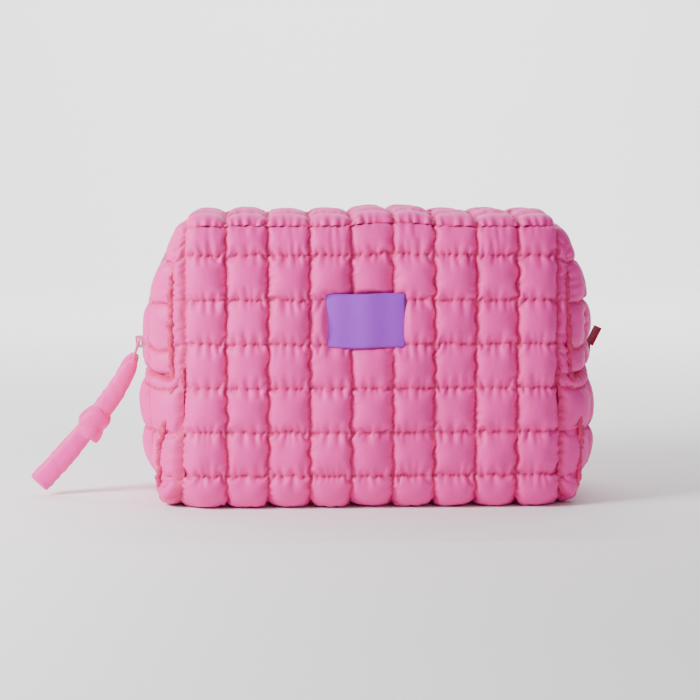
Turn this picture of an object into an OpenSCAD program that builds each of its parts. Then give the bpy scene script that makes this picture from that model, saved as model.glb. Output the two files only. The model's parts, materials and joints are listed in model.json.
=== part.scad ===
// Boxy quilted makeup bag with a zip over the top, a knotted puller and a folded side label.
// Origin: centre of the flat base. +X along the length (slider at -X), -Y front, +Z up.

/* [Body] */
// Length of the quilted front panel
body_w = 198; // [150:1:280]
// Depth, front to back
body_d = 110; // [70:1:150]
// Radius of the lower front and back edges
base_r = 16; // [6:1:25]
// Radius of the rolled upper edges, on which the top panels turn
roll_r = 6.5; // [4:0.5:10]
// Height of the axis of the upper edges
roll_z = 147; // [100:1:200]
// Height of the zip run above the base
top_z = 157; // [110:1:210]
// Bulge of the lower ends beyond the panel
end_bulge = 25.6; // [10:0.2:35]
// Height of the seam across each end
end_seam_z = 75.3; // [50:0.1:110]

/* [Walls] */
// Outer nylon with its quilted relief
skin_t = 2; // [1:0.1:3]
// Wadding between the two cloths
wad_t = 3; // [1:0.1:6]
// Lining
lining_t = 1; // [0.4:0.1:2]

/* [Quilting] */
// Columns of quilting on the front
quilt_cols = 9; // [4:1:14]
// Height of the lowest quilting line
quilt_z0 = 17.6; // [5:0.1:30]
// Distance between quilting lines, up the wall
quilt_pitch_z = 23.4; // [15:0.1:40]
// Radius of the groove along a quilting line
groove_r = 0.9; // [0.3:0.1:1.5]

/* [Zip] */
// Distance between two elements on one side
pitch = 2.5; // [1.5:0.1:4]
// Length of an element along the run
tooth_l = 0.95; // [0.5:0.05:1.5]
// How far an element reaches past the middle
tooth_over = 0.7; // [0.3:0.1:1.2]
// Where an element ends on its tape
tooth_in = 2.4; // [2:0.1:4]
// Thickness of the elements
tooth_t = 2.4; // [1.4:0.1:3]
// Half width of the zip, to the panel's folded edge
tape_half = 9; // [6:0.5:14]
// Thickness of the tape
tape_t = 0.7; // [0.3:0.1:1]

/* [Slider and puller] */
// Length of the slider
slider_l = 12; // [8:0.5:16]
// Distance from the tab's upper bar to its lower one
tab_l = 10; // [6:0.5:20]
// Lean of the tab from hanging straight down
tab_lean = 19; // [0:1:40]
// Lean of the puller from hanging straight down
puller_lean = 33; // [20:1:45]
// Radius of the puller's stuffed tail
tail_r = 5.4; // [3:0.1:8]
// Distance from the tab's bar to the knot
knot_at = 41; // [25:1:60]
// Distance from the tab's bar to the tail's end
puller_l = 86; // [60:1:120]

/* [Label] */
// Width of the folded label
label_w = 40; // [20:1:60]
// Height of the label
label_h = 28.6; // [15:0.1:45]

/* [Hidden] */
$fn = 96;
hw = body_w / 2;
hd = body_d / 2;
roll_y = hd - roll_r - 0.5;
flap_x = 87;
flap_gap = 0.3;
crease_x = 103;
wall_top = 139.8;
arc_x = 22;
arc_z = 88;
arc_r = 100.5;
arc_top = 40;
arc_low = -7.3;
chain_in = 1.3;
chain_r = arc_r - chain_in;
corner_r = (top_z - arc_z - arc_r * sin(arc_top)) / (1 - sin(arc_top));
corner_x = arc_x + (arc_r - corner_r) * cos(arc_top);
corner_z = top_z - corner_r;
low_x = hw + end_bulge - 90;
low_z = 52;
low_r = 90;
plan_x = 36.9;
plan_r = hw + end_bulge + 0.3 - plan_x;
quilt_pitch_x = body_w / quilt_cols;
step_a = pitch / chain_r * 180 / PI;
step_c = 12.5;
wall_in = skin_t + wad_t + lining_t;
slide_x = -(arc_x + chain_r);
pivot_u = 4.6;
seat_a = 2 * step_a;
seat_z = arc_z + 3;
seat_x = slide_x - pivot_u;
pivot_x = -arc_x - (chain_r + pivot_u) * cos(seat_a) - 3 * sin(seat_a);
pivot_z = arc_z - (chain_r + pivot_u) * sin(seat_a) + 3 * cos(seat_a);
bar_x = pivot_x - tab_l * sin(tab_lean);
bar_z = pivot_z - tab_l * cos(tab_lean);
pink = [0.87, 0.42, 0.68];
deep = [0.72, 0.2, 0.45];
cream = [0.93, 0.9, 0.9];
lilac = [0.66, 0.47, 0.82];

// ---- outer form ----

// A box given by its low and high corners
module span(a, b) {
  translate(a) cube([b[0] - a[0], b[1] - a[1], b[2] - a[2]]);
}

// Side view of the whole bag as a bar across it, all faces moved in by t
module side_form(t) {
  intersection() {
    rotate([90, 0, 0])
      translate([0, 0, -100])
        union() {
          for (s = [-1, 1]) {
            intersection() {
              translate([s * arc_x, arc_z, 0]) cylinder(r = arc_r - t, h = 200);
              span([-200, end_seam_z, 0], [200, arc_z + arc_r * sin(arc_top), 200]);
            }
            intersection() {
              translate([s * low_x, low_z, 0]) cylinder(r = low_r - t, h = 200);
              span([-200, 0, 0], [200, end_seam_z + 0.2, 200]);
            }
            translate([s * corner_x, corner_z, 0]) cylinder(r = corner_r - t, h = 200);
          }
          span([-corner_x, 20, 0], [corner_x, top_z - t, 200]);
        }
    span([-200, -100, t], [200, 100, top_z - t]);
  }
}

// Cross section of the bag as a bar along it, all faces moved in by t
module cross_form(t) {
  rotate([90, 0, 90])
    translate([0, 0, -200])
      union() {
        for (s = [-1, 1]) {
          translate([s * (hd - base_r), base_r, 0]) cylinder(r = base_r - t, h = 400);
          translate([s * roll_y, roll_z, 0]) cylinder(r = roll_r - t, h = 400);
        }
        span([-hd + t, base_r, 0], [hd - t, roll_z, 400]);
        span([-hd + base_r, t, 0], [hd - base_r, 60, 400]);
        linear_extrude(400)
          polygon([
            [-roll_y - 0.5, roll_z + roll_r - t - 0.05], [-8, top_z - t], [8, top_z - t],
            [roll_y + 0.5, roll_z + roll_r - t - 0.05], [roll_y + 0.5, roll_z - 5],
            [-roll_y - 0.5, roll_z - 5]
          ]);
      }
}

// Plan of the bag as an upright bar, all faces moved in by t
module plan_form(t) {
  union() {
    for (s = [-1, 1]) {
      intersection() {
        translate([s * plan_x, 0, 0]) cylinder(r = plan_r - t, h = 200);
        span([s > 0 ? 0 : -200, -hd, 0], [s > 0 ? 200 : 0, hd, 200]);
      }
    }
    span([-hw, -hd, 0], [hw, hd, 200]);
  }
}

// The bag as one filled form, all faces moved in by t
module form(t) {
  intersection() {
    side_form(t);
    cross_form(t);
    plan_form(t);
  }
}

// One layer of the wall between two depths
module layer(a, b) {
  difference() {
    form(a);
    form(b);
  }
}

// Grooves along the quilting lines, on the walls and the base
module quilt_grooves() {
  for (s = [-1, 1]) {
    for (k = [0 : quilt_cols]) {
      translate([-hw + k * quilt_pitch_x, s * (hd + groove_r * 0.25), 8])
        cylinder(r = groove_r, h = 150, $fn = 32);
    }
    for (k = [0 : 5]) {
      translate([-120, s * (hd + groove_r * 0.25), quilt_z0 + k * quilt_pitch_z])
        rotate([0, 90, 0]) cylinder(r = groove_r, h = 240, $fn = 32);
    }
  }
}

// ---- wall panels ----

// What a layer keeps as the wrap: front, base and back, below the top panels
module wrap_region(top) {
  span([-crease_x, -80, -5], [crease_x, 80, top]);
}

module outer_wrap() {
  color(pink)
    difference() {
      intersection() {
        layer(0, skin_t);
        wrap_region(143);
      }
      for (s = [-1, 1]) {
        translate([-200, s * roll_y, roll_z]) rotate([0, 90, 0])
          cylinder(r = roll_r + flap_gap, h = 400);
      }
      quilt_grooves();
    }
}

module lower_end(s) {
  color(pink)
    intersection() {
      layer(0, skin_t);
      span([s > 0 ? crease_x + 0.1 : -200, -80, -5],
           [s > 0 ? 200 : -crease_x - 0.1, 80, end_seam_z - 0.1]);
    }
}

// Space that a shoulder or its wadding fills, on side s and front or back f
module shoulder_region(s, f) {
  x0 = flap_x + flap_gap;
  y0 = tape_half + 0.1;
  union() {
    span([s > 0 ? crease_x + 0.1 : -200, f > 0 ? y0 : -80, end_seam_z],
         [s > 0 ? 200 : -crease_x - 0.1, f > 0 ? 80 : -y0, 200]);
    span([s > 0 ? x0 : -crease_x - 0.2, f > 0 ? y0 : -80, roll_z - 3],
         [s > 0 ? crease_x + 0.2 : -x0, f > 0 ? 80 : -y0, 200]);
  }
}

module shoulder(s, f) {
  color(pink)
    intersection() {
      layer(0, skin_t);
      shoulder_region(s, f);
    }
}

module left_lower_end() { lower_end(-1); }
module right_lower_end() { lower_end(1); }
module left_front_shoulder() { shoulder(-1, -1); }
module left_back_shoulder() { shoulder(-1, 1); }
module right_front_shoulder() { shoulder(1, -1); }
module right_back_shoulder() { shoulder(1, 1); }

module wrap_wadding() {
  color(cream)
    intersection() {
      layer(skin_t, skin_t + wad_t);
      wrap_region(wall_top);
    }
}

module end_wadding(s) {
  color(cream)
    intersection() {
      layer(skin_t, skin_t + wad_t);
      union() {
        span([s > 0 ? crease_x + 0.1 : -200, -80, -5],
             [s > 0 ? 200 : -crease_x - 0.1, 80, end_seam_z - 0.1]);
        for (f = [-1, 1]) shoulder_region(s, f);
      }
    }
}

module left_end_wadding() { end_wadding(-1); }
module right_end_wadding() { end_wadding(1); }

module bag_lining() {
  color(deep)
    difference() {
      layer(skin_t + wad_t, wall_in);
      span([-flap_x - flap_gap, -80, wall_top], [flap_x + flap_gap, 80, 200]);
      span([-200, -tape_half - 0.1, end_seam_z], [200, tape_half + 0.1, 200]);
    }
}

// ---- top panels ----

// Height of the top panel's outer face, at distance y from the middle
function top_face(y) =
  roll_z + roll_r - 0.05
  + (top_z - roll_z - roll_r - 0.05) * (roll_y + 0.5 - y) / (roll_y + 0.5 - tape_half);

// Height of the top panel's inner face
function under_face(y) =
  roll_z + 0.5 + (top_z - roll_z - 4.5) * (roll_y + 0.5 - y) / (roll_y + 0.5 - tape_half);

// Cross section of the front top panel as a bar, faces moved in by t
module top_bar(t, inset) {
  y0 = roll_y + 0.5;
  y1 = tape_half + 0.1 + inset;
  translate([-flap_x + inset, 0, 0])
    rotate([90, 0, 90])
      union() {
        translate([-roll_y, roll_z, 0]) cylinder(r = roll_r - t, h = 2 * (flap_x - inset));
        linear_extrude(2 * (flap_x - inset))
          polygon([
            [-y0, top_face(y0) - t], [-y1, top_face(y1) - t],
            [-y1, under_face(y1) + t * 0.35], [-y0, under_face(y0) + t * 0.35]
          ]);
      }
}

// One layer of a top panel between two depths; f is -1 front, 1 back
module top_layer(f, a, b, inset) {
  mirror([0, f > 0 ? 1 : 0, 0])
    difference() {
      top_bar(a, inset);
      if (b > 0) top_bar(b, inset - 1);
    }
}

module front_top_panel() { color(pink) top_layer(-1, 0, 1.2, 0); }
module back_top_panel() { color(pink) top_layer(1, 0, 1.2, 0); }
module front_top_wadding() { color(cream) top_layer(-1, 1.2, 2.6, 0.4); }
module back_top_wadding() { color(cream) top_layer(1, 1.2, 2.6, 0.4); }
module front_top_lining() { color(deep) top_layer(-1, 2.6, 0, 0.8); }
module back_top_lining() { color(deep) top_layer(1, 2.6, 0, 0.8); }

// ---- zip ----

// Moves along an end arc of the zip on side s, by angle a up from level
module on_arc(s, a) {
  mirror([s > 0 ? 1 : 0, 0, 0])
    translate([-arc_x, 0, arc_z]) rotate([0, a, 0]) children();
}

// A strip on an end arc, from depth d0 to d1, width y0 to y1, angle a0 to a1
module arc_strip(s, d0, d1, y0, y1, a0, a1) {
  on_arc(s, a1)
    rotate([90, 0, 0])
      translate([0, 0, -y1])
        rotate([0, 0, 180])
          rotate_extrude_slab(arc_r - d1, arc_r - d0, y1 - y0, a1 - a0);
}

// A curved slab about the local Z axis, from angle 0 to a
module rotate_extrude_slab(r0, r1, h, a) {
  rotate_extrude(angle = a, $fn = 180) translate([r0, 0]) square([r1 - r0, h]);
}

// Tape on one end, on side s and front or back f
module end_tape(s, f) {
  y0 = tooth_in + 0.1;
  d0 = chain_in - tape_t / 2;
  d1 = chain_in + tape_t / 2;
  color(deep)
    mirror([0, f > 0 ? 1 : 0, 0])
      difference() {
        union() {
          arc_strip(s, d0, d1, -tape_half, -y0, arc_low, arc_top);
          corner_tape(s, d0, d1, -tape_half, -y0);
          span([s > 0 ? flap_x + flap_gap : -corner_x, -tape_half, top_z - d1],
               [s > 0 ? corner_x : -flap_x - flap_gap, -y0, top_z - d0]);
        }
        if (s < 0) span([-130, -4.3, 60], [-110, 0, 83.7]);
      }
}

// The tape's bend between the end arc and the top run
module corner_tape(s, d0, d1, y0, y1) {
  mirror([s > 0 ? 1 : 0, 0, 0])
    translate([-corner_x, 0, corner_z])
      rotate([0, 90, 0])
        rotate([90, 0, 0])
          translate([0, 0, -y1])
            rotate([0, 0, 180])
              rotate_extrude_slab(corner_r - d1, corner_r - d0, y1 - y0, 90 - arc_top);
}

module left_front_tape() { end_tape(-1, -1); }
module left_back_tape() { end_tape(-1, 1); }
module right_front_tape() { end_tape(1, -1); }
module right_back_tape() { end_tape(1, 1); }

// How far an element stands off the middle, at height z over the slider's middle
function parted(z) = min(1, max(0, (0.2 - z) / 2.2)) * 1.75;

// One front element, its length along local Z and its face towards local -X
module tooth(off) {
  span([-tooth_t / 2, -tooth_in - off, -tooth_l / 2], [tooth_t / 2, tooth_over - off, tooth_l / 2]);
}

// Elements on one end, on side s and front or back f
module end_teeth(s, f) {
  half = f > 0 ? 0.5 : 0;
  color(deep)
    mirror([0, f > 0 ? 1 : 0, 0]) {
      for (k = [s < 0 ? -4 : -3 : 26]) {
        a = (k + half) * step_a;
        if (a < arc_top - 0.6 && a > arc_low + 0.8)
          on_arc(s, a) translate([-chain_r, 0, 0])
            tooth(s < 0 ? parted((a + seat_a) * chain_r * PI / 180) : 0);
      }
      translate([s * (f > 0 ? 88.2 : 89.35), 0, top_z - chain_in]) rotate([0, 90, 0]) tooth(0);
      for (k = [0 : 3]) {
        b = arc_top + (k + half + 0.1) * step_c;
        mirror([s > 0 ? 1 : 0, 0, 0])
          translate([-corner_x, 0, corner_z]) rotate([0, b, 0])
            translate([-(corner_r - chain_in), 0, 0]) tooth(0);
      }
    }
}

module left_front_teeth() { end_teeth(-1, -1); }
module left_back_teeth() { end_teeth(-1, 1); }
module right_front_teeth() { end_teeth(1, -1); }
module right_back_teeth() { end_teeth(1, 1); }

module top_tape(f) {
  color(deep)
    mirror([0, f > 0 ? 1 : 0, 0])
      span([-flap_x, -tape_half, top_z - chain_in - tape_t / 2],
           [flap_x, -tooth_in - 0.1, top_z - chain_in + tape_t / 2]);
}

module top_teeth(f) {
  n = floor((flap_x - 1.5) / pitch);
  half = f > 0 ? 0.5 : 0;
  color(deep)
    mirror([0, f > 0 ? 1 : 0, 0]) {
      for (k = [f > 0 ? -n - 1 : -n : n]) {
        translate([(k + half) * pitch, 0, top_z - chain_in]) rotate([0, 90, 0]) tooth(0);
      }
      span([-flap_x + 0.2, -tooth_in, top_z - chain_in - 0.5],
           [flap_x - 0.2, -tooth_in + 0.7, top_z - chain_in + 0.5]);
    }
}

module front_top_tape() { top_tape(-1); }
module back_top_tape() { top_tape(1); }
module front_top_teeth() { top_teeth(-1); }
module back_top_teeth() { top_teeth(1); }

module open_end_stops() {
  color([0.8, 0.35, 0.58])
    for (s = [-1, 1]) {
      on_arc(-1, arc_low + 0.55)
        translate([-chain_r - 1.3, s * 3.4 - 0.7, -0.6]) cube([2.6, 1.4, 1.2]);
    }
}

module closed_end_stop() {
  color([0.8, 0.35, 0.58])
    on_arc(1, arc_low + 0.6)
      translate([-chain_r - 1.25, -2.4, -0.7]) cube([2.5, 4.8, 1.2]);
}

// The folded cloth tab over the closed end of the zip
module zip_end_tab() {
  color([0.55, 0.05, 0.22])
    union() {
      arc_strip(1, -2.0, -0.4, -8, 8, arc_low + 0.4, -2.5);
      on_arc(1, -2.5) translate([-arc_r - 3.4, -8, -1.2]) rotate([0, -24, 0]) cube([1.6, 16, 11]);
    }
}

// ---- label and bindings ----

module side_label() {
  color(lilac)
    translate([-3.5, -hd + 88 - 3.0, 86.2])
      rotate([0, 0, 270 - 12.8])
        rotate_extrude(angle = 25.6, $fn = 180) translate([89, 0]) square([1.2, label_h]);
}

module corner_binding(s, f) {
  color(deep)
    translate([s * 101, f * 47.6, 18])
      rotate([0, 0, atan2(-f, -s)])
        translate([0, -0.8, 0]) cube([6, 1.6, 118]);
}

module left_front_binding() { corner_binding(-1, -1); }
module left_back_binding() { corner_binding(-1, 1); }
module right_front_binding() { corner_binding(1, -1); }
module right_back_binding() { corner_binding(1, 1); }

module end_binding(s) {
  color(deep)
    intersection() {
      form(wall_in + 0.05);
      mirror([s > 0 ? 1 : 0, 0, 0])
        translate([-plan_x, 0, end_seam_z - 2.6])
          rotate([0, 0, 154])
            rotate_extrude(angle = 52, $fn = 180) translate([71, 0]) square([20, 1.6]);
    }
}

module left_end_binding() { end_binding(-1); }
module right_end_binding() { end_binding(1); }

// ---- slider, tab and puller ----

// Outline of the slider's plates: narrow above, flared at the mouth
module plate_shape(grow) {
  polygon([
    [-5.2 - grow, -slider_l / 2], [5.2 + grow, -slider_l / 2], [5.2 + grow, -2.4],
    [3.7 + grow, 0.8], [3.7 + grow, slider_l / 2], [-3.7 - grow, slider_l / 2],
    [-3.7 - grow, 0.8], [-5.2 - grow, -2.4]
  ]);
}

// Moves the slider down the end arc to its closed place
module seated() {
  translate([-arc_x, 0, arc_z]) rotate([0, -seat_a, 0]) translate([arc_x, 0, -arc_z]) children();
}

// A plate lying in the slider's frame, from depth u0 to u1 outwards
module plate(u0, u1) {
  translate([slide_x - u1, 0, arc_z])
    rotate([90, 0, 90]) linear_extrude(u1 - u0) children();
}

module slider_body() {
  color([0.86, 0.4, 0.66])
    seated() union() {
      plate(1.65, 2.85) plate_shape(0);
      plate(-2.85, -1.65) plate_shape(0);
      for (u = [[0.75, 1.7], [-1.7, -0.75]])
        plate(u[0], u[1])
          difference() {
            plate_shape(0);
            plate_shape(-0.9);
            translate([-4.3, -slider_l / 2 - 1]) square([8.6, 4.6]);
            translate([-2.8, slider_l / 2 - 1]) square([5.6, 2]);
          }
      plate(-1.7, 1.7)
        polygon([[-0.8, -6], [0.8, -6], [0.8, -3], [0, -1.6], [-0.8, -3]]);
    }
}

module slider_bridge() {
  color([0.86, 0.4, 0.66])
    seated() difference() {
      span([slide_x - 6.6, -1.3, seat_z - 4], [slide_x - 2.85, 1.3, seat_z + 2.8]);
      translate([seat_x, -5, seat_z]) rotate([-90, 0, 0]) cylinder(r = 1.05, h = 10);
      span([seat_x - 1.05, -5, seat_z - 2.2], [seat_x + 1.05, 5, seat_z]);
    }
}

module pull_tab() {
  color([0.86, 0.4, 0.66])
    union() {
      for (p = [[pivot_x, pivot_z], [bar_x, bar_z]])
        translate([p[0], -5.2, p[1]]) rotate([-90, 0, 0]) cylinder(r = 0.8, h = 10.4);
      for (s = [-1, 1])
        translate([pivot_x, s * 4.1, pivot_z]) rotate([0, 180 + tab_lean, 0])
          translate([0, 0, 0.2]) cylinder(r = 0.7, h = tab_l - 0.4);
    }
}

// The puller's own frame: Z runs from the tab's bar down the puller
module puller_frame() {
  translate([bar_x, 0, bar_z]) rotate([0, 180 + puller_lean, 0]) children();
}

module puller_cover() {
  color(pink)
    puller_frame()
      difference() {
        union() {
          translate([0, -2.8, 0]) rotate([-90, 0, 0]) cylinder(r = 2.9, h = 5.6);
          translate([0, 0, 1.4]) cylinder(r1 = 2.6, r2 = 5.0, h = knot_at - 4);
          translate([0, 0, knot_at]) sphere(7.6);
          translate([0, 0, knot_at]) rotate([0, 62, 0])
            rotate_extrude() translate([4.3, 0]) circle(4.1, $fn = 48);
          translate([0, 0, knot_at]) cylinder(r1 = 4.6, r2 = tail_r, h = puller_l - knot_at);
        }
        translate([0, -5, 0]) rotate([-90, 0, 0]) cylinder(r = 1.1, h = 10);
        puller_core();
      }
}

module puller_core() {
  translate([0, 0, 8]) cylinder(r1 = 1.6, r2 = 3, h = 20);
  translate([0, 0, knot_at + 6]) cylinder(r = 3.4, h = puller_l - knot_at - 8);
}

module puller_filler() {
  color(cream) puller_frame() puller_core();
}

// ---- assembly ----

outer_wrap();
left_lower_end();
right_lower_end();
left_front_shoulder();
left_back_shoulder();
right_front_shoulder();
right_back_shoulder();
wrap_wadding();
left_end_wadding();
right_end_wadding();
bag_lining();
left_front_tape();
left_back_tape();
right_front_tape();
right_back_tape();
left_front_teeth();
left_back_teeth();
right_front_teeth();
right_back_teeth();
open_end_stops();
closed_end_stop();
zip_end_tab();
side_label();
left_front_binding();
left_back_binding();
right_front_binding();
right_back_binding();
left_end_binding();
right_end_binding();
front_top_panel();
front_top_wadding();
front_top_lining();
front_top_tape();
front_top_teeth();
back_top_panel();
back_top_wadding();
back_top_lining();
back_top_tape();
back_top_teeth();
slider_body();
slider_bridge();
pull_tab();
puller_cover();
puller_filler();
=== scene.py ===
import json
import math

import bpy
import numpy as np
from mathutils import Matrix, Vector


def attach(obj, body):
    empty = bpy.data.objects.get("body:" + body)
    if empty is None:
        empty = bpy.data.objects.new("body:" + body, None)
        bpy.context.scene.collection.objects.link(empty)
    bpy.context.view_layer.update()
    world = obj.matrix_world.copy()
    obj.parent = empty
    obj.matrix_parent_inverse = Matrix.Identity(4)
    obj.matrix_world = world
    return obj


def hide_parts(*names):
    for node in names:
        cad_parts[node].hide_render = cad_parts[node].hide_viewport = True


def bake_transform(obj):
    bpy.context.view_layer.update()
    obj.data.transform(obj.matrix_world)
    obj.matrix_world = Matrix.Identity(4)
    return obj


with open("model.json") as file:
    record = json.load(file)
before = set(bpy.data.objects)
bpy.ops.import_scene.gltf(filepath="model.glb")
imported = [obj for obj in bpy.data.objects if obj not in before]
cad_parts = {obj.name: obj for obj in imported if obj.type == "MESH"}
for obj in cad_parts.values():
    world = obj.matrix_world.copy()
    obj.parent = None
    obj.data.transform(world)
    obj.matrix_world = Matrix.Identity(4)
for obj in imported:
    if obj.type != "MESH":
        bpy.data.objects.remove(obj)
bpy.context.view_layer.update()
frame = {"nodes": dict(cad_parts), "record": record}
NODES = frame["nodes"]
MM = 0.001

# ---------------------------------------------------------------- sizes, mm
HD, BASE_R = 55.0, 16.0  # half depth, and the rounding of the lower long edges
ROLL_R, ROLL_Y, ROLL_Z, TOP_Z = 6.5, 48.0, 147.0, 157.0  # the rolled upper edges, and the zip's height
ARC_X, ARC_Z, ARC_R, ARC_TOP = 22.0, 88.0, 100.5, math.radians(40)  # the zip's curve down each end
LOW_X, LOW_Z, LOW_R = 34.6, 52.0, 90.0  # the ends' curve below the zip
PLAN_X, PLAN_R = 36.9, 88.0  # the ends' curve from above
SEAM_Z, FLAP_X, TAPE = 75.3, 87.0, 9.0  # the end seam, half a top panel, half the zip's width
CELL, ROW = 22.0, 23.4  # the quilting's cells on the front
COR_R = (TOP_Z - ARC_Z - ARC_R * math.sin(ARC_TOP)) / (1 - math.sin(ARC_TOP))
COR_X = ARC_X + (ARC_R - COR_R) * math.cos(ARC_TOP)
COR_Z = TOP_Z - COR_R
EDGE_A = math.radians(59.5)  # where the upper edge seam lies on the rolled edge
LABEL_X, LABEL_Z, LABEL_W, LABEL_H = -3.5, 100.5, 40.0, 28.6
STEP = 0.92  # the cloth's grid
STEPS = 110


def smooth(t):
    t = np.clip(t, 0, 1)
    return t * t * (3 - 2 * t)


def smin(a, b, k):
    h = np.clip(0.5 + 0.5 * (b - a) / k, 0, 1)
    return b + (a - b) * h - k * h * (1 - h)


# ---------------------------------------------------------------- cloth solver
def quilt(us, vs, grow_u, grow_v, seed, wob_u=0.32, wob_v=0.3):
    """Lays out a cloth that is longer than the lining under it, sews it down along the lines us
    and vs, and lets the wadding push it up. Position-based cloth: stretch, shear and bend links,
    damped steps. Returns the flat coordinates and the settled points, in mm."""
    r = np.random.default_rng(seed)
    nu = int(round((us[-1] - us[0]) / STEP)) + 1
    nv = int(round((vs[-1] - vs[0]) / STEP)) + 1
    u = np.linspace(us[0], us[-1], nu)
    v = np.linspace(vs[0], vs[-1], nv)
    du, dv = u[1] - u[0], v[1] - v[0]
    U, V = np.meshgrid(u, v, indexing="ij")
    X = np.stack([U, V, np.zeros_like(U)], -1)
    pin = np.zeros((nu, nv), bool)

    def wave(t, amp):
        out = np.zeros_like(t)
        for _ in range(6):
            out += r.normal() * np.sin(r.uniform(0.12, 0.7) * t + r.uniform(0, 6.28))
        return amp * out / 1.7

    def stitches(n, a, b):
        at = np.cumsum(r.integers(a, b, n))
        return np.concatenate([[0], at[at < n - 1], [n - 1]])

    cap = np.full((nu, nv), 9.0)
    for s in us:
        i = int(round((s - us[0]) / du))
        inner = 0 < i < nu - 1
        pin[i, stitches(nv, 1, 3) if inner else slice(None)] = True
        cap[i, :] = 0.3 if inner else 0
        w = wave(v, wob_u)
        if inner:
            X[i, :, 0] = s + w
    for s in vs:
        j = int(round((s - vs[0]) / dv))
        inner = 0 < j < nv - 1
        pin[stitches(nu, 2, 7), j] = True
        cap[:, j] = np.minimum(cap[:, j], 0.9 if inner else 1.5)
        w = wave(u, wob_v)
        if inner:
            X[:, j, 1] = s + w
    X[..., 2] += r.normal(size=(nu, nv)) * 0.12 * ~pin
    a, b = r.uniform(0, 6.28, 2)
    gu = grow_u * (1 + 0.3 * np.sin(U * 0.13 + V * 0.21 + a) + 0.2 * np.sin(U * 0.31 - V * 0.17 + b))
    gv = grow_v * (1 + 0.3 * np.sin(U * 0.19 - V * 0.11 + b) + 0.2 * np.sin(U * 0.23 + V * 0.29 + a))
    X, gu, gv = X.astype(np.float32), gu.astype(np.float32), gv.astype(np.float32)
    W = (~pin).astype(np.float32)
    cap = cap.astype(np.float32)
    links = []

    def add(di, dj, k):
        n = 2 * max(di, abs(dj))
        for c in range(n):
            if di:
                ia, ib = slice(c, nu - di, n), slice(c + di, nu, n)
                ja = slice(0, nv - dj) if dj >= 0 else slice(-dj, nv)
                jb = slice(dj, nv) if dj >= 0 else slice(0, nv + dj)
            else:
                ia = ib = slice(0, nu)
                ja, jb = slice(c, nv - dj, n), slice(c + dj, nv, n)
            wa, wb = W[ia, ja], W[ib, jb]
            if wa.size == 0:
                continue
            rest = np.sqrt((di * du * (1 + gu[ia, ja])) ** 2 + (dj * dv * (1 + gv[ia, ja])) ** 2)
            total = np.maximum(wa + wb, 1e-6)
            links.append(((ia, ja), (ib, jb), rest, k * wa / total, k * wb / total))

    for di, dj, k in ((1, 0, 1), (0, 1, 1), (1, 1, 0.25), (1, -1, 0.25), (2, 0, 0.1), (0, 2, 0.2)):
        add(di, dj, k)
    old = X.copy()
    for _ in range(STEPS):
        vel = (X - old) * 0.92
        old = X.copy()
        X += vel * W[..., None]
        X[..., 2] += 0.012 * W
        for _ in range(3):
            for pa, pb, rest, ka, kb in links:
                d = X[pb] - X[pa]
                ln = np.sqrt(np.einsum("ijk,ijk->ij", d, d)) + 1e-9
                d *= ((ln - rest) / ln)[..., None]
                X[pa] += ka[..., None] * d
                X[pb] -= kb[..., None] * d
        np.clip(X[..., 2], 0, cap, out=X[..., 2])
    seam = np.full((nu, nv), 99.0)
    for s in us:
        seam = np.minimum(seam, np.abs(U - s))
    for s in vs:
        seam = np.minimum(seam, np.abs(V - s))
    return U, V, X.astype(float), seam


# ---------------------------------------------------------------- the bag's form
def side_x(z):
    """Half length of the bag at height z, at its middle."""
    low = LOW_X + np.sqrt(np.maximum(LOW_R**2 - (z - LOW_Z) ** 2, 1))
    low = low - 3.0 * smooth((12 - z) / 12) ** 2
    up = ARC_X + np.sqrt(np.maximum(ARC_R**2 - (z - ARC_Z) ** 2, 1))
    return np.where(z < SEAM_Z, low, up)


def plan_x(y):
    """Half length of the bag at distance y from its middle plane."""
    y = np.abs(y)
    return PLAN_X + np.sqrt(PLAN_R**2 - np.minimum(y, 60) ** 2) - 3.2 * smooth((y - 40) / 14) ** 2


def soften(p):
    """Gentle unevenness of a soft bag, dying out towards the zip."""
    x, y, z = p[..., 0], p[..., 1], p[..., 2]
    front = np.sign(y) * smooth((np.abs(y) - 30) / 22)
    swell = 3.4 * np.cos(np.clip(x / 106, -1, 1) * math.pi / 2) * np.sin(np.clip(z / 150, 0, 1) * math.pi) ** 0.8
    lump = 0.9 * np.sin(x * 0.045 + z * 0.03 + 1) + 0.6 * np.sin(x * 0.082 - z * 0.05 + 2.2 * np.sign(y))
    q = p.copy()
    q[..., 1] += front * (swell + lump * smooth(z / 30))
    top = smooth((z - 120) / 34) * smooth((104 - np.abs(x)) / 24) * smooth((np.abs(y) - 9) / 12)
    q[..., 2] += top * np.maximum(1.2 * np.sin(x * 0.07 + 0.6) + 1.3 * np.cos(x * 0.028) - 0.4, 0)
    end = smooth((np.abs(x) - 100) / 7)
    side = smooth((np.abs(y) - 12) / 20) * end
    q[..., 0] += np.sign(x) * side * 1.2 * np.sin(z * 0.06 + y * 0.07 + x * 0.01)
    # the seam between the zip's end and the lower end sags towards the long sides
    q[..., 2] -= 5.5 * smooth(np.abs(y) / 52) * np.exp(-(((z - SEAM_Z) / 18) ** 2)) * end
    return q


TUCK = 0.3  # how far the wrap goes on under the top panels, in radians of the rolled edge
ROLL_L = ROLL_R * (math.pi / 2 - EDGE_A + TUCK)
WALL_L = ROLL_Z - BASE_R
ARC_L = BASE_R * math.pi / 2
FLAT_L = 2 * (HD - BASE_R)
WRAP_L = 2 * (ROLL_L + WALL_L + ARC_L) + FLAT_L


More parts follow.
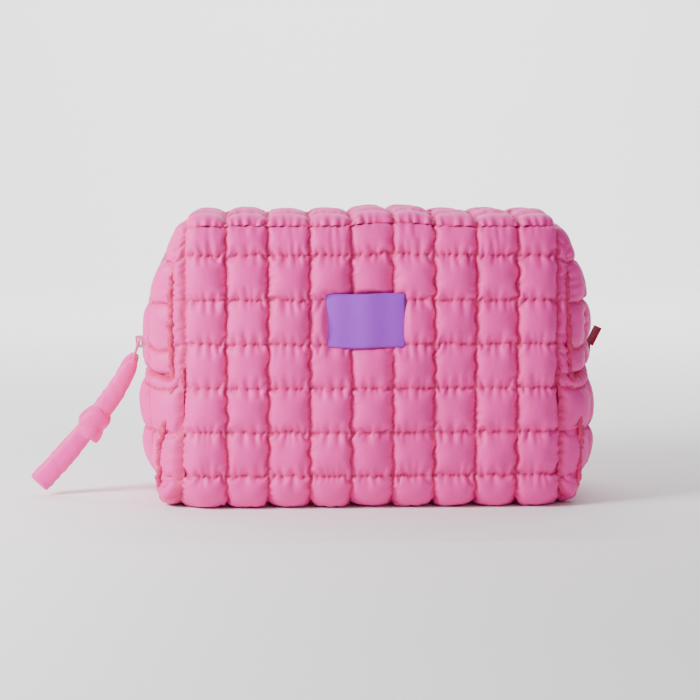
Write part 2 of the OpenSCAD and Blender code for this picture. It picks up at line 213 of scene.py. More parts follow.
def wrap_base(u, v):
    """Front, base and back: u along X, v from the front's upper edge down and round to the back's."""
    side = np.where(v > WRAP_L / 2, 1.0, -1.0)
    w = np.minimum(v, WRAP_L - v)
    a = EDGE_A - TUCK + w / ROLL_R
    y = ROLL_Y + 0.5 * smooth(w / ROLL_L) + ROLL_R * np.sin(np.minimum(a, math.pi / 2))
    z = ROLL_Z + ROLL_R * np.cos(np.minimum(a, math.pi / 2))
    w1 = w - ROLL_L
    z = np.where(w1 > 0, ROLL_Z - w1, z)
    y = np.where(w1 > 0, HD, y)
    b = np.clip((w1 - WALL_L) / BASE_R, 0, math.pi / 2)
    bent = w1 > WALL_L
    z = np.where(bent, BASE_R - BASE_R * np.sin(b), z)
    y = np.where(bent, HD - BASE_R + BASE_R * np.cos(b), y)
    flat = w1 - WALL_L - ARC_L
    y = np.where(flat > 0, HD - BASE_R - flat, y)
    inward = 4.2 * smooth((np.abs(u) - 86) / 19) ** 2
    # the lower corners wrap round towards the ends; the upper ones follow the rounded ends down
    wide = smooth((72 - z) / 40) * smooth((np.abs(y) - 20) / 20)
    over = np.maximum(np.abs(u) - 95, 0)
    x = np.sign(u) * (np.abs(u) + over * 0.75 * wide)
    inward = inward + 2.2 * wide * smooth(over / 10)
    y = y - inward * np.clip(y / HD, 0, 1)
    a = np.abs(u)
    line = np.where(a > COR_X, COR_Z + np.sqrt(np.maximum(COR_R**2 - np.clip(a - COR_X, 0, COR_R) ** 2, 0)), TOP_Z)
    line = np.where(a > 99, ARC_Z + np.sqrt(np.maximum(ARC_R**2 - (a - ARC_X) ** 2, 0)), line)
    z = z - np.clip(155.0 - line, 0, 14) * (1 - smooth(w / 34))
    return np.stack([x, side * y, z], -1)


def top_drop(t):
    """Across a top panel from its zip edge: (distance from the middle, drop from the zip's height)."""
    flat = ROLL_Y - TAPE - 0.1
    slope = (TOP_Z - ROLL_Z - ROLL_R) / flat
    a = np.clip((t - flat) / ROLL_R, 0, 2)
    y = np.where(t < flat, TAPE + 0.1 + t, ROLL_Y + ROLL_R * np.sin(a))
    drop = np.where(t < flat, slope * t, slope * flat + ROLL_R * (1 - np.cos(a)))
    return y, drop


TOP_L = ROLL_Y - TAPE - 0.1 + ROLL_R * EDGE_A


RUN_TOP = COR_X - FLAP_X - 0.3
RUN_COR = COR_R * (math.pi / 2 - ARC_TOP)
RUN_ARC = ARC_R * (ARC_TOP + math.asin((ARC_Z - SEAM_Z) / ARC_R))
RUN_L = RUN_TOP + RUN_COR + RUN_ARC


def run_path(s):
    """The zip's way from the end of a top panel, round the corner and down the end: x, z, and how
    far the surface there faces outwards along X."""
    a = np.clip(math.pi / 2 - (s - RUN_TOP) / COR_R, ARC_TOP, math.pi / 2)
    b = np.minimum(ARC_TOP - (s - RUN_TOP - RUN_COR) / ARC_R, ARC_TOP)
    on_arc = s > RUN_TOP + RUN_COR
    x = np.where(s < RUN_TOP, FLAP_X + 0.3 + s, COR_X + COR_R * np.cos(a))
    z = np.where(s < RUN_TOP, TOP_Z, COR_Z + COR_R * np.sin(a))
    x = np.where(on_arc, ARC_X + ARC_R * np.cos(b), x)
    z = np.where(on_arc, ARC_Z + ARC_R * np.sin(b), z)
    ang = np.where(on_arc, b, a)
    return x, z, np.cos(ang)


def strip_base(f):
    """A top panel and both its shoulders: u along the zip from the middle, t across from the zip."""

    def base(u, t):
        sx, s = np.sign(u) + (u == 0), np.abs(u) - FLAP_X - 0.3
        x, z, nx = run_path(np.maximum(s, 0))
        x = x + np.minimum(s, 0)
        y, drop = top_drop(t)
        back = np.maximum(x - smin(x, plan_x(y), 5.0) - 1.0, 0) + smooth((t - 30) / 16) ** 2 * 1.0
        wx = smooth((nx - 0.05) / 0.6)
        y = y * (1 - 0.05 * wx * smooth((t - 20) / 26))
        return np.stack([sx * (x - wx * back), f * y, z - drop * smooth((z - 70) / 60)], -1)

    return base


LOW_L = LOW_R * (math.asin((SEAM_Z - LOW_Z) / LOW_R) + math.asin(LOW_Z / LOW_R))


def low_base(sx):
    """The lower half of an end: s down from the end seam, y across."""

    def base(s, y):
        z = LOW_Z + LOW_R * np.sin(math.asin((SEAM_Z - LOW_Z) / LOW_R) - s / LOW_R)
        z = np.maximum(z, 0)
        half = np.where(z < BASE_R, HD - BASE_R + np.sqrt(np.maximum(BASE_R**2 - (BASE_R - z) ** 2, 0)), HD)
        half = half - 1.0
        yy = y / 54.0 * half
        x = smin(side_x(z), plan_x(yy), 5.0) + 1.0
        return np.stack([sx * x, yy, z], -1)

    return base


# ---------------------------------------------------------------- meshes
def make(name, verts, faces, smooth_faces=True, attrs=None, uv=None):
    me = bpy.data.meshes.new(name)
    verts = np.asarray(verts, float).reshape(-1, 3)
    faces = np.asarray(faces, np.int32)
    me.vertices.add(len(verts))
    me.vertices.foreach_set("co", (verts * MM).astype(np.float32).ravel())
    k = faces.shape[1]
    me.loops.add(faces.size)
    me.loops.foreach_set("vertex_index", faces.ravel())
    me.polygons.add(len(faces))
    me.polygons.foreach_set("loop_start", np.arange(0, faces.size, k, dtype=np.int32))
    me.update(calc_edges=True)
    me.polygons.foreach_set("use_smooth", np.full(len(faces), smooth_faces))
    for key, val in (attrs or {}).items():
        at = me.attributes.new(key, "FLOAT", "POINT")
        at.data.foreach_set("value", np.asarray(val, np.float32).ravel())
    if uv is not None:
        layer = me.uv_layers.new(name="UVMap")
        layer.data.foreach_set("uv", np.asarray(uv, np.float32).reshape(-1, 2)[faces.ravel()].ravel())
    me.validate()
    ob = bpy.data.objects.new(name, me)
    bpy.context.scene.collection.objects.link(ob)
    return ob


def grid_faces(nu, nv, flip=False, start=0):
    i, j = np.meshgrid(np.arange(nu - 1), np.arange(nv - 1), indexing="ij")
    a = (i * nv + j).ravel() + start
    f = np.stack([a, a + nv, a + nv + 1, a + 1], -1)
    return f[:, ::-1] if flip else f


def normals(P):
    n = np.cross(np.gradient(P, axis=0), np.gradient(P, axis=1))
    return n / (np.linalg.norm(n, axis=-1, keepdims=True) + 1e-9)


def closed_slab(top, bot):
    """Vertices and faces of the closed layer between two grids."""
    nu, nv = top.shape[:2]
    n = nu * nv
    f = [grid_faces(nu, nv), grid_faces(nu, nv, True, n)]
    ring = np.concatenate([
        np.arange(nv), np.arange(1, nu) * nv + nv - 1,
        (nu - 1) * nv + np.arange(nv - 2, -1, -1), np.arange(nu - 2, 0, -1) * nv])
    nxt = np.roll(ring, -1)
    f.append(np.stack([ring, nxt, nxt + n, ring + n], -1))
    return np.concatenate([top.reshape(-1, 3), bot.reshape(-1, 3)]), np.concatenate(f)


SKINS = {}


def skin(name, us, vs, base, seed, out, node, grow=(0.085, 0.05), depth=2.0, dive=(3, 3, 3, 3),
         puff=1.0, shallow=None):
    """One quilted panel, laid on base. out is +1 or -1: which way the base's own normal points
    outwards. depth is how far the seams sink, dive how far the cloth's four edges turn in."""
    U, V, X, seam = quilt(us, vs, grow[0], grow[1], seed)
    flat = base(U, V)
    N = normals(flat) * out
    P = base(X[..., 0], X[..., 1])
    edge = np.zeros_like(U)
    for e, amount in zip((U - us[0], us[-1] - U, V - vs[0], vs[-1] - V), dive):
        edge = np.maximum(edge, amount * np.exp(-((e / 2.2) ** 2)))
    sink = np.full_like(U, depth)
    if shallow is not None:
        sink = sink - shallow(U, V)
    h = puff * 5.2 * (np.maximum(X[..., 2], 0) / 5.2) ** 0.72
    if name.endswith("strip"):
        h = h * (1 - 0.22 * smooth((np.abs(U) - 100) / 15))
    if name == "quilted_wrap":
        h = h * (1 - 0.45 * np.exp(-((np.minimum(V, WRAP_L - V) / 8) ** 2)))
        lz = ROLL_L + ROLL_Z - V
        # held flat under the label
        held = smooth((23.5 - np.abs(U - LABEL_X)) / 4.5) * smooth((17.5 - np.abs(lz - LABEL_Z)) / 4.5)
        h = h * (1 - 0.7 * held)
    P = soften(P + N * (h - sink - edge)[..., None])
    P[..., 2] = np.maximum(P[..., 2], 0.0)
    # painted shade: the seam attribute darkens the seam valleys, most where the cloth lies low, and the edges where
    # they turn in
    painted_shade = np.exp(-((seam / 1.3) ** 2)) * np.exp(-np.maximum(h, 0) / 1.3)
    painted_shade = np.maximum(painted_shade, np.clip(edge / 3, 0, 1) * 0.9)
    low = h.copy()
    for _ in range(3):
        for ax in (0, 1):
            for d in (1, -1):
                low = np.minimum(low, np.roll(low, d, ax))
    bed = soften(flat + N * (low - sink - edge - 0.8)[..., None])
    bed[..., 2] = np.maximum(bed[..., 2], 0.15)
    made = []
    for label, n, i0, i1 in pieces(name, node, U[:, 0]):
        sl = slice(i0, i1)
        SKINS[label] = dict(P=P[sl], flat=flat[sl], N=N[sl], bed=bed[sl], out=out)
        ob = make(label, P[sl], grid_faces(i1 - i0, U.shape[1], out < 0), attrs={"seam": painted_shade[sl], "puff": h[sl]},
                  uv=np.stack([U, V], -1)[sl] / 100)
        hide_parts(n)
        paint(ob, M_NYLON)
        made.append(ob)
    return made


def pieces(name, node, u):
    """Where a skin is cut into objects: the strips are cut where the flaps end."""
    if not name.endswith("strip"):
        return [(name, node, 0, len(u))]
    side = name.split("_")[0]
    a, b = int(np.argmin(np.abs(u + FLAP_X))), int(np.argmin(np.abs(u - FLAP_X)))
    return [(f"left_{side}_shoulder_quilt", f"left_{side}_shoulder", 0, a + 1),
            (f"{side}_top_quilt", f"{side}_top_panel", a, b + 1),
            (f"right_{side}_shoulder_quilt", f"right_{side}_shoulder", b, len(u))]


def wadding(name, skin_name, node, low=4.8, soft=False):
    """The wadding under a panel: it follows the cloth above and lies on the lining below."""
    k = SKINS[skin_name]
    cut = slice(4, -4, 2)
    top = k["bed"][cut, cut]
    bot = k["flat"] - k["N"] * low
    bot = (soften(bot) if soft else bot)[cut, cut]
    n = k["N"][cut, cut]
    thin = 0.25 - ((top - bot) * n).sum(-1)
    bot = bot - n * np.maximum(thin, 0)[..., None]
    top[..., 2], bot[..., 2] = np.maximum(top[..., 2], 0.1), np.maximum(bot[..., 2], 0.05)
    v, f = closed_slab(top, bot) if k["out"] > 0 else closed_slab(bot, top)
    ob = make(name, v, f)
    if node:
        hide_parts(node)
    paint(ob, M_WAD)
    if not soft or "lower" in name:
        return [ob]
    low_side = bot - n * 0.5
    v, f = closed_slab(bot, low_side) if k["out"] > 0 else closed_slab(low_side, bot)
    cloth = make(name.replace("wadding_pad", "lining"), v, f)
    paint(cloth, M_LINE)
    return [ob, cloth]


# ---------------------------------------------------------------- materials
def links(nt, *pairs):
    for a, b in pairs:
        nt.links.new(a, b)


def material(name, color, rough=0.5, metallic=0.0, sheen=0.0, coat=0.0, bump=0.1, scale=900.0, vary=0.06,
             shade_colour=None, weave=0.0, spec=0.4, crease=0.0, sheen_tint=None):
    """A procedural surface: noise in the colour and roughness, bump from noise and weave, and
    a painted shade colour, laid by the seam attribute in the seams, folds and grooves where a piece has them."""
    m = bpy.data.materials.new(name)
    m.use_nodes = True
    nt = m.node_tree
    bs = nt.nodes["Principled BSDF"]
    n = nt.nodes.new
    tc = n("ShaderNodeTexCoord")
    big = n("ShaderNodeTexNoise")
    big.inputs["Scale"].default_value = 60
    big.inputs["Detail"].default_value = 3
    ramp = n("ShaderNodeMapRange")
    ramp.inputs["To Min"].default_value = 1 - vary
    ramp.inputs["To Max"].default_value = 1 + vary
    hsv = n("ShaderNodeHueSaturation")
    hsv.inputs["Color"].default_value = (*color, 1)
    links(nt, (tc.outputs["Object"], big.inputs["Vector"]), (big.outputs["Fac"], ramp.inputs["Value"]),
          (ramp.outputs["Result"], hsv.inputs["Value"]))
    top = hsv.outputs["Color"]
    # painted shade: the seam attribute mixes the darker colour into the base colour
    if shade_colour is not None:
        at = n("ShaderNodeAttribute")
        at.attribute_name = "seam"
        mix = n("ShaderNodeMix")
        mix.data_type = "RGBA"
        mix.inputs["B"].default_value = (*shade_colour, 1)
        links(nt, (at.outputs["Fac"], mix.inputs["Factor"]), (top, mix.inputs["A"]))
        top = mix.outputs["Result"]
    links(nt, (top, bs.inputs["Base Color"]))
    bs.inputs["Metallic"].default_value = metallic
    bs.inputs["Sheen Weight"].default_value = sheen
    bs.inputs["Sheen Roughness"].default_value = 0.4
    bs.inputs["Sheen Tint"].default_value = (*(sheen_tint or color), 1)
    bs.inputs["Coat Weight"].default_value = coat
    bs.inputs["Specular IOR Level"].default_value = spec
    rr = n("ShaderNodeMapRange")
    rr.inputs["To Min"].default_value = max(rough - 0.08, 0.05)
    rr.inputs["To Max"].default_value = min(rough + 0.08, 1)
    links(nt, (big.outputs["Fac"], rr.inputs["Value"]), (rr.outputs["Result"], bs.inputs["Roughness"]))
    fine = n("ShaderNodeTexNoise")
    fine.inputs["Scale"].default_value = scale
    fine.inputs["Detail"].default_value = 4
    bp = n("ShaderNodeBump")
    bp.inputs["Strength"].default_value = bump
    bp.inputs["Distance"].default_value = 0.0006
    links(nt, (tc.outputs["Object"], fine.inputs["Vector"]), (fine.outputs["Fac"], bp.inputs["Height"]))
    last = bp
    if crease:
        cr = n("ShaderNodeTexNoise")
        cr.inputs["Scale"].default_value = 190
        cr.inputs["Detail"].default_value = 2.5
        cr.inputs["Distortion"].default_value = 1.2
        cb = n("ShaderNodeBump")
        cb.inputs["Strength"].default_value = crease
        cb.inputs["Distance"].default_value = 0.0012
        links(nt, (tc.outputs["Object"], cr.inputs["Vector"]), (cr.outputs["Fac"], cb.inputs["Height"]),
              (last.outputs["Normal"], cb.inputs["Normal"]))
        last = cb
    if weave:
        uvn = n("ShaderNodeUVMap")
        uvn.uv_map = "UVMap"
        for direction in ("X", "Y"):
            wv = n("ShaderNodeTexWave")
            wv.bands_direction = direction
            wv.inputs["Scale"].default_value = 75
            wb = n("ShaderNodeBump")
            wb.inputs["Strength"].default_value = weave
            wb.inputs["Distance"].default_value = 0.0003
            links(nt, (uvn.outputs["UV"], wv.inputs["Vector"]), (wv.outputs["Fac"], wb.inputs["Height"]),
                  (last.outputs["Normal"], wb.inputs["Normal"]))
            last = wb
    links(nt, (last.outputs["Normal"], bs.inputs["Normal"]))
    return m


def paint(ob, mat):
    ob.data.materials.clear()
    ob.data.materials.append(mat)


# the darker crimson of these two is painted shade for the seam valleys, grooves and turned-in edges
M_NYLON = material("quilted_nylon", (0.88, 0.035, 0.36), 0.5, sheen=0.1, shade_colour=(0.55, 0.006, 0.08), bump=0.12,
                   scale=2600, vary=0.04, weave=0.12, crease=0.16, sheen_tint=(1, 0.62, 0.85), spec=0.35)
M_PULL = material("puller_nylon", (0.88, 0.035, 0.36), 0.45, sheen=0.1, shade_colour=(0.55, 0.006, 0.08), bump=0.12,
                  scale=2600, vary=0.04, weave=0.12, crease=0.2, sheen_tint=(1, 0.62, 0.85), spec=0.35)
M_WAD = material("wadding", (0.85, 0.8, 0.81), 0.95, bump=0.7, scale=420, sheen=0.3)
M_LINE = material("lining_cloth", (0.62, 0.07, 0.27), 0.6, bump=0.25, scale=1800, sheen=0.15, crease=0.2)
M_TAPE = material("zip_tape", (0.66, 0.1, 0.33), 0.8, bump=0.5, scale=1500, sheen=0.2)
M_TEETH = material("zip_teeth", (0.72, 0.13, 0.38), 0.3, bump=0.05, coat=0.2)
M_METAL = material("painted_zinc", (0.8, 0.2, 0.42), 0.28, metallic=0.25, coat=0.5, bump=0.03, spec=0.6)
M_TAB = material("tab_cloth", (0.32, 0.008, 0.05), 0.8, bump=0.4, scale=1500, sheen=0.15)
M_BIND = material("binding_tape", (0.6, 0.07, 0.27), 0.75, bump=0.35, scale=1400, sheen=0.2)
# the darker violet is painted shade in the ribbon's folds
M_LABEL = material("label_ribbon", (0.33, 0.035, 0.62), 0.5, bump=0.25, scale=2400, sheen=0.03, weave=0.25,
                   sheen_tint=(0.9, 0.6, 1), shade_colour=(0.13, 0.02, 0.28), spec=0.3)

by_slot = {"wadding": M_WAD, "lining_cloth": M_LINE, "zip_tape": M_TAPE, "zip_teeth": M_TEETH,
           "painted_zinc": M_METAL, "tab_cloth": M_TAB, "binding_tape": M_BIND, "label_ribbon": M_LABEL,
           "puller_nylon": M_PULL, "quilted_nylon": M_NYLON}
for sub in frame["record"]["subparts"]:
    paint(NODES[sub["node"]], by_slot[sub["material_slot"]])

# ---------------------------------------------------------------- quilted panels
WRAP_EDGE = 105.3
cols = [-WRAP_EDGE] + [(k - 4.5) * CELL for k in range(10)] + [WRAP_EDGE]
first = ROLL_L + ROLL_Z - 134.8
rows = [0, first] + [first + ROW * k for k in range(1, 7)]
mid = WRAP_L / 2
gap = (mid - rows[-1]) / 2
rows = rows + [mid - gap, mid] + [WRAP_L - r for r in reversed(rows + [mid - gap])]
GROW = (0.12, 0.05)


def edge_gather(U, V):
    """The upper edge seams are shallow: the cells roll over them."""
    return 0.9 * np.exp(-((np.minimum(V, WRAP_L - V) / 4.0) ** 2))


skin("quilted_wrap", cols, rows, wrap_base, 3, -1, "outer_wrap", GROW, dive=(1, 1, 1.7, 1.7), shallow=edge_gather)
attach(bpy.data.objects["quilted_wrap"], "bag")
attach(wadding("wrap_wadding_pad", "quilted_wrap", "wrap_wadding")[0], "bag")

END_ROWS = [12.0, 34.7, 59.7, 83.2]  # seams across the shoulders, along the zip from the top panel's end
half_cols = [CELL / 2 + CELL * k for k in range(4)] + [FLAP_X + 0.3 + e for e in END_ROWS] + [FLAP_X + 0.3 + RUN_L]
strip_cols = [-c for c in reversed(half_cols)] + half_cols


def zip_side(U, V):
    """The strips' seams are deeper down the ends, and shallow beside the zip and at the fold."""
    fold = np.exp(-(((TOP_L - V) / 4.0) ** 2)) * (np.abs(U) < 100)
    return -1.3 * smooth((np.abs(U) - 102) / 20) + 1.0 * np.exp(-((V / 4.0) ** 2)) + 0.9 * fold


for side, f in (("front", -1), ("back", 1)):
    made = skin(f"{side}_strip", strip_cols, [0, 3.6, TOP_L / 2 + 1.5, TOP_L], strip_base(f), 20 + f, f, "", GROW,
                depth=1.8, dive=(3, 3, 0.5, 0.4), shallow=zip_side)
    w = wadding(f"{side}_top_wadding_pad", f"{side}_top_quilt", f"{side}_top_wadding", low=2.5)
    for o in (made[1], *w):
        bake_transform(o)
    for end, sx, o in (("left", -1, made[0]), ("right", 1, made[2])):
        w = wadding(f"{end}_{side}_shoulder_wadding_pad", o.name, None, low=4.3, soft=True)
        for piece in (o, *w):
            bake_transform(piece)
for end, sx in (("left", -1), ("right", 1)):
    low_rows = [0, SEAM_Z - 64.4 - 2.5, SEAM_Z - 41 + 1, SEAM_Z - 17.6 + 3, LOW_L]
    made = skin(f"{end}_lower_quilt", low_rows, [-55, -33, -11, 11, 33, 55], low_base(sx), 60 + sx, sx,
                f"{end}_lower_end", (0.05, 0.12), depth=2.8, dive=(3, 1.0, 2.6, 2.6), puff=0.8)
    w = wadding(f"{end}_lower_wadding_pad", made[0].name, f"{end}_end_wadding", low=4.3, soft=True)
    for o in (made[0], *w):
        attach(o, "bag")

# ---------------------------------------------------------------- zip: copies of the tapes and teeth
def copy_node(node, name):
    """A copy of a CAD node that stands for it, for a piece that has to bend or be reshaped."""
    src = NODES[node]
    ob = bpy.data.objects.new(name, src.data.copy())
    ob.matrix_world = src.matrix_world.copy()
    bpy.context.scene.collection.objects.link(ob)
    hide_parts(node)
    return ob


for end, sx in (("left", -1), ("right", 1)):
    for side in ("front", "back"):
        for what, mat in (("tape", M_TAPE), ("teeth", M_TEETH)):
            o = copy_node(f"{end}_{side}_{what}", f"{end}_{side}_zip_{what}")
            paint(o, mat)
            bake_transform(o)
# the top panels' linings, as copies
for side, f in (("front", -1), ("back", 1)):
    o = copy_node(f"{side}_top_lining", f"{side}_flap_lining")
    paint(o, M_LINE)
    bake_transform(o)

# ---------------------------------------------------------------- label
def label():
    """The ribbon: its front lies on the settled cloth, and its two ends fold back behind it."""
    w, h = LABEL_W, LABEL_H
    n, m = 61, 24
    a = np.linspace(-1, 1, n)
    P = SKINS["quilted_wrap"]["P"].reshape(-1, 3)
    here = P[(np.abs(P[:, 0] - LABEL_X) < 19) & (np.abs(P[:, 2] - LABEL_Z) < 14) & (P[:, 1] < 0)]
    y0 = np.percentile(here[:, 1], 2) + 0.5
    front = np.stack([LABEL_X + a * w / 2, y0 - 1.7 * (1 - a**2) - 0.25 * np.sin(a * 7 + 1)], -1)
    k = np.linspace(0, math.pi, 9)[1:]
    left = np.stack([front[0, 0] - 0.9 * np.sin(k), front[0, 1] + 1.1 * (1 - np.cos(k))], -1)[::-1]
    right = np.stack([front[-1, 0] + 1.3 * np.sin(k), front[-1, 1] + 1.5 * (1 - np.cos(k))], -1)
    tail = right[-1] + np.array([[-1.5, 0.4], [-3.0, 0.7], [-5.0, 0.9]])
    path = np.concatenate([left, front, right, tail])
    z = np.linspace(0, h, m)
    P = np.zeros((len(path), m, 3))
    P[..., 0] = path[:, None, 0] + 0.25 * np.sin(z * 0.2)[None]
    bow = 0.5 * np.cos((z / h - 0.5) * math.pi)
    P[..., 1] = path[:, None, 1] - bow[None]
    P[..., 2] = LABEL_Z - h / 2 + z[None] + 0.3 * np.sin(path[:, None, 0] * 0.18)
    N = normals(P)
    out = 1 if N[len(path) // 2, 0, 1] < 0 else -1
    v, f = closed_slab(P + N * out * 0.22, P - N * out * 0.22)
    if out < 0:
        f = f[:, ::-1]
    # painted shade in the two folds at the ribbon's ends, laid through the seam attribute
    shade = np.zeros((len(path), m))
    shade[: len(left)] = 0.8
    shade[len(left) + n : len(left) + n + len(right)] = 0.7
    uv = np.stack(np.meshgrid(np.arange(len(path)) * 0.7, z, indexing="ij"), -1) / 100
    ob = make("folded_ribbon_label", v, f, attrs={"seam": np.concatenate([shade.ravel()] * 2)},
              uv=np.concatenate([uv.reshape(-1, 2)] * 2))
    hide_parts("side_label")
    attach(ob, "bag")
    paint(ob, M_LABEL)


label()

# ---------------------------------------------------------------- puller
# the tab leans out and the puller leans further; PIV is the slider's bridge and BAR the tab's lower bar
TAB = math.radians(19)
SEAT = 2 * 2.5 / (ARC_R - 1.3)
PIV = np.array([-ARC_X - (ARC_R + 3.3) * math.cos(SEAT) - 3 * math.sin(SEAT), 0,
                ARC_Z - (ARC_R + 3.3) * math.sin(SEAT) + 3 * math.cos(SEAT)])
BAR = PIV + 10 * np.array([-math.sin(TAB), 0, -math.cos(TAB)])
LEAN = math.radians(33)
DOWN = np.array([-math.sin(LEAN), 0, -math.cos(LEAN)])
SIDE = np.array([math.cos(LEAN), 0, -math.sin(LEAN)])
OUT = np.array([0, -1.0, 0])


def tube(path, rx, ry, side0, n=28, wrinkle=0.0, seed=1, cap=True):
    """A stuffed tube along path with half widths rx, ry across side0 and the other way."""
    path = np.asarray(path, float)
    T = np.gradient(path, axis=0)
    T /= np.linalg.norm(T, axis=1, keepdims=True)
    A = side0 - T * (T @ side0)[:, None]
    A /= np.linalg.norm(A, axis=1, keepdims=True)
    B = np.cross(T, A)
    r = np.random.default_rng(seed)
    ph = np.linspace(0, 2 * math.pi, n, endpoint=False)
    s = np.concatenate([[0], np.cumsum(np.linalg.norm(np.diff(path, axis=0), axis=1))])
    c, d = np.cos(ph)[None], np.sin(ph)[None]
    fold = np.zeros((len(path), n))
    for _ in range(7):
        fold += np.sin(s[:, None] * r.uniform(0.3, 1.3) + r.integers(1, 4) * ph[None] + r.uniform(0, 6.28))
    k = 1 + wrinkle * fold / 3
    across = (rx[:, None] * k * c)[..., None] * A[:, None]
    ring = path[:, None] + across + (ry[:, None] * k * d)[..., None] * B[:, None]
    i, j = np.meshgrid(np.arange(len(path) - 1), np.arange(n), indexing="ij")
    a = i * n + j
    b = i * n + (j + 1) % n
    f = np.stack([a, b, b + n, a + n], -1).reshape(-1, 4)
    v = ring.reshape(-1, 3)
    if cap:
        m = len(v)
        v = np.concatenate([v, path[:1], path[-1:]])
        q = np.arange(n)
        last = (len(path) - 1) * n
        f = np.concatenate([
            f, np.stack([(q + 1) % n, q, np.full(n, m), np.full(n, m)], -1),
            np.stack([last + q, last + (q + 1) % n, np.full(n, m + 1), np.full(n, m + 1)], -1)])
    return v, f, s, ph


def tri_safe(v, f):
    """Splits faces with a doubled corner into triangles."""
    bad = f[:, 2] == f[:, 3]
    quad = f[~bad]
    tri = np.concatenate([f[bad][:, :3], quad[:, :3], quad[:, [0, 2, 3]]])
    return v, tri


def spline(pts, n):
    pts = np.asarray(pts, float)
    t = np.linspace(0, len(pts) - 1, n)
    i = np.clip(t.astype(int), 0, len(pts) - 2)
    q = (t - i)[:, None]
    p0, p1 = pts[np.maximum(i - 1, 0)], pts[i]
    p2, p3 = pts[i + 1], pts[np.minimum(i + 2, len(pts) - 1)]
    return 0.5 * (2 * p1 + (p2 - p0) * q + (2 * p0 - 5 * p1 + 4 * p2 - p3) * q**2 + (3 * p1 - p0 - 3 * p2 + p3) * q**3)


def at(d, s=0.0, o=0.0):
    """A place on the puller: d down its length, s aside and o outwards from its middle line."""
    return BAR + DOWN * d + SIDE * s + OUT * o


# the knot's turns: tilt, place along the puller, radius, half width and half thickness
KNOT_TURNS = (0.5, 40.6, 4.3, 8.0, 3.2), (-0.42, 45.6, 4.2, 6.6, 3.2)


def puller(name, node, mat, thin=0.0):
    """The knotted strap, or with thin above 0 the filling inside it."""
    parts_v, parts_f, n0 = [], [], 0

    def put(v, f):
        nonlocal n0
        v, f = tri_safe(v, f)
        parts_v.append(v)
        parts_f.append(f + n0)
        n0 += len(v)

    # the strand from the tab's bar down into the knot, folded over the bar
    n = 80
    for o, seed in ((1.0, 1), (-1.0, 2)):
        loop = [at(-1.7, 0.0, 0.0), at(-0.7, 1.5 * o, 0.0), at(3, 1.2 * o, 0.8 * o), at(9, 1.0, 1.7 * o),
                at(18, 1.6, 2.0 * o), at(28, 1.4, 1.9 * o), at(36, 0.8, 1.4 * o), at(44, 0, 0.8 * o)]
        p = spline(loop, n)
        t = np.linspace(0, 1, n)
        rx = 1.2 + 3.5 * smooth((t - 0.12) / 0.3) + 0.9 * smooth((t - 0.4) / 0.3) - 0.3 * smooth((t - 0.8) / 0.2)
        ry = 2.3 + 0.5 * smooth((t - 0.2) / 0.4)
        if not thin:
            put(*tube(p, rx, ry, SIDE, wrinkle=0.03, seed=seed)[:2])
    # the knot: a broad turn laid aslant over a narrower one
    for k, (tilt, dd, big, wide, thick) in enumerate(KNOT_TURNS):
        if thin:
            break
        a = np.linspace(0, 2 * math.pi, 110)
        e1 = SIDE * math.cos(tilt) + DOWN * math.sin(tilt)
        axis = DOWN * math.cos(tilt) - SIDE * math.sin(tilt)
        ring = at(dd, 0.4 + 0.5 * k) + np.outer(np.cos(a) * big, e1) + np.outer(np.sin(a) * big * 0.92, OUT)
        ring = ring + np.outer(0.9 * np.sin(a + 0.6 + k), axis)
        rr = 1 + 0.08 * np.sin(2 * a + k) + 0.04 * np.sin(5 * a)
        v, f, _, _ = tube(ring, wide * rr, thick * (2 - rr), axis, n=40, wrinkle=0.035, seed=7 + k, cap=False)
        put(v, f)
    # the two ends below it
    for o, seed, ln in ((1.0, 4, 87.5), (-1.0, 5, 86.0)):
        tail = [at(42, 0, 0.5 * o), at(50, -0.8, 1.6 * o), at(60, -2.0, 2.0 * o), at(70, -3.4, 1.9 * o),
                at(80, -5.1, 1.8 * o), at(ln, -6.5, 1.7 * o)]
        p = spline(tail, 90)
        t = np.linspace(0, 1, 90)
        rx = 4.9 + 1.2 * smooth(t / 0.5) - 1.0 * smooth((t - 0.955) / 0.045) ** 2
        ry = 2.5 + 0.6 * smooth(t / 0.5) - 1.7 * smooth((t - 0.94) / 0.06)
        cut = slice(8, 84) if thin else slice(None)
        put(*tube(p[cut], rx[cut] - thin * 1.2, ry[cut] - thin, SIDE, n=36, wrinkle=0.025, seed=seed)[:2])
    v = np.concatenate(parts_v)
    v[:, 2] = np.maximum(v[:, 2], 0.05)
    ob = make(name, v, np.concatenate(parts_f), attrs={"seam": np.zeros(len(v))},
              uv=np.stack([v[:, 0] + v[:, 2], v[:, 1]], -1) / 100)
    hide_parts(node)
    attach(ob, "puller")
    paint(ob, mat)


puller("knotted_puller", "puller_cover", M_PULL)
puller("puller_filling", "puller_filler", M_WAD, 0.9)

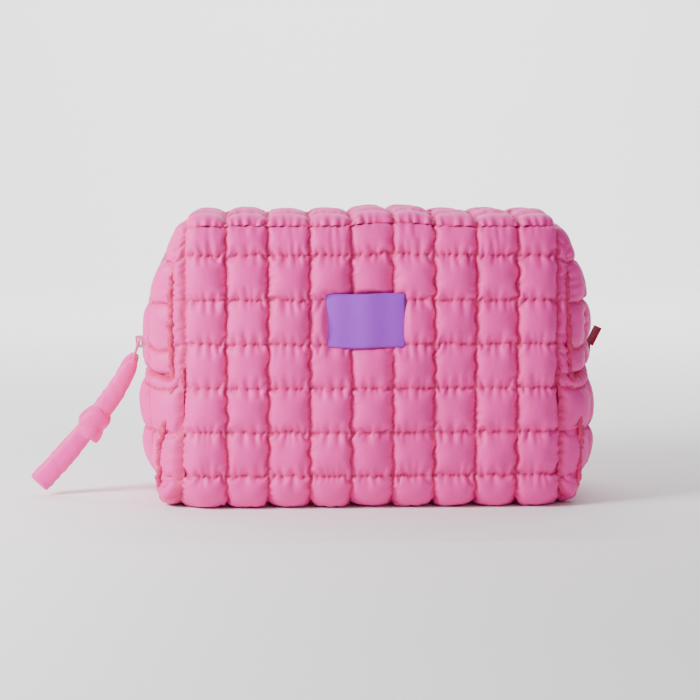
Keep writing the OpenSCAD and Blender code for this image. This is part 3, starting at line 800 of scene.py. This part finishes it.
# ---------------------------------------------------------------- the corners: gathered seams and rounded lining
def corner_gather(name, i, back):
    """The gathered seam allowance in the groove between the wrap and an end."""
    k = SKINS["quilted_wrap"]
    half = k["flat"].shape[1] // 2
    edge = (k["flat"][i] - k["N"][i] * 2.6)[slice(half, None) if back else slice(half)]
    edge = soften(edge[(edge[:, 2] > 9) & (edge[:, 2] < 126)])
    n, seed = len(edge), 31 + 2 * (i < 0) + back
    k = np.random.default_rng(seed)
    edge[:, 0] += np.convolve(k.uniform(-1.1, 1.1, n + 2), (0.25, 0.5, 0.25), "valid")
    ends = smooth(np.minimum(np.arange(n), np.arange(n)[::-1]) / 9)
    r = [(0.5 + 1.25 * ends) * (0.72 + 0.56 * k.uniform(0, 1, n)) for _ in range(2)]
    v, f = tri_safe(*tube(edge, *r, np.array([1.0, 0, 0]), n=14, wrinkle=0.12, seed=seed)[:2])
    # painted shade: the gathered seam takes most of the darker seam colour, as it lies deep in its groove
    ob = make(name, v, f, attrs={"seam": np.full(len(v), 0.8)}, uv=np.stack([v[:, 2], v[:, 0] + v[:, 1]], -1) / 100)
    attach(ob, "bag")
    paint(ob, M_NYLON)


for end, i in (("left", 0), ("right", -1)):
    for side, back in (("front", False), ("back", True)):
        corner_gather(f"{end}_{side}_corner_gather", i, back)

# the lining's upright corners are pulled in, clear of the gathered seams
lining = copy_node("bag_lining", "bag_lining_cloth")
paint(lining, M_LINE)
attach(lining, "bag")
for v in lining.data.vertices:
    x, y = v.co.x / MM, v.co.y / MM
    near = min(max((abs(x) - 96) / 6, 0), 1) * min(max((abs(y) - 42) / 6, 0), 1)
    v.co.x -= math.copysign(3.5 * near, x) * MM
    v.co.y -= math.copysign(4.0 * near, y) * MM

# ---------------------------------------------------------------- small hardware: its CAD shape, with rounded edges
for name in ("slider_body", "slider_bridge", "open_end_stops", "closed_end_stop", "zip_end_tab"):
    b = NODES[name].modifiers.new("soft_edges", "BEVEL")
    b.width = 0.00025
    b.segments = 2
    b.limit_method = "ANGLE"

# ---------------------------------------------------------------- stage
floor_m = bpy.data.materials.new("floor")
floor_m.use_nodes = True
fb = floor_m.node_tree.nodes["Principled BSDF"]
fb.inputs["Base Color"].default_value = (0.93, 0.92, 0.92, 1)
fb.inputs["Roughness"].default_value = 0.9
k = np.linspace(0, math.pi / 2, 13)
sweep = [(-3000.0, -0.3)] + [(1900 + 700 * math.sin(q), 699.7 - 700 * math.cos(q)) for q in k] + [(2600.0, 3600.0)]
sweep = np.array([[(x, y, z) for y, z in sweep] for x in (-4500.0, 4500.0)])
floor = make("floor", sweep, grid_faces(2, sweep.shape[1]))
paint(floor, floor_m)

world = bpy.data.worlds.new("studio")
bpy.context.scene.world = world
world.use_nodes = True
world.node_tree.nodes["Background"].inputs["Color"].default_value = (1, 0.985, 0.99, 1)
world.node_tree.nodes["Background"].inputs["Strength"].default_value = 0.36


def area(name, loc, target, size, power):
    """A soft rectangular lamp at loc that faces target."""
    d = bpy.data.lights.new(name, "AREA")
    d.shape = "RECTANGLE"
    d.size, d.size_y = size
    d.energy = power
    o = bpy.data.objects.new(name, d)
    bpy.context.scene.collection.objects.link(o)
    o.location = loc
    o.rotation_euler = (Vector(target) - Vector(loc)).to_track_quat("-Z", "Y").to_euler()


area("key", (-0.72, -0.4, 0.5), (-0.02, 0, 0.07), (0.34, 0.34), 15)
area("fill", (0.7, -1.4, 0.5), (0, 0, 0.07), (1.2, 0.9), 1.2)
area("top", (0.1, 0.2, 1.3), (0, 0, 0.1), (1.0, 0.8), 3)
area("backdrop", (0, 0.9, 1.7), (0, 2.4, 0.6), (2.4, 0.6), 110)

CAMERA_AT, CAMERA_LENS = (-0.0600, -1.0415, 0.1748), 96.7
CAMERA_DOWN, CAMERA_RIGHT = 5.2, 2.8  # degrees below the horizon, and to the right of straight ahead
cam = bpy.data.cameras.new("camera")
cam.sensor_width = 36
cam.lens = CAMERA_LENS
cam.clip_start = 0.05
co = bpy.data.objects.new("camera", cam)
bpy.context.scene.collection.objects.link(co)
co.location = CAMERA_AT
co.rotation_euler = (math.radians(90 - CAMERA_DOWN), 0, math.radians(-CAMERA_RIGHT))
bpy.context.scene.camera = co
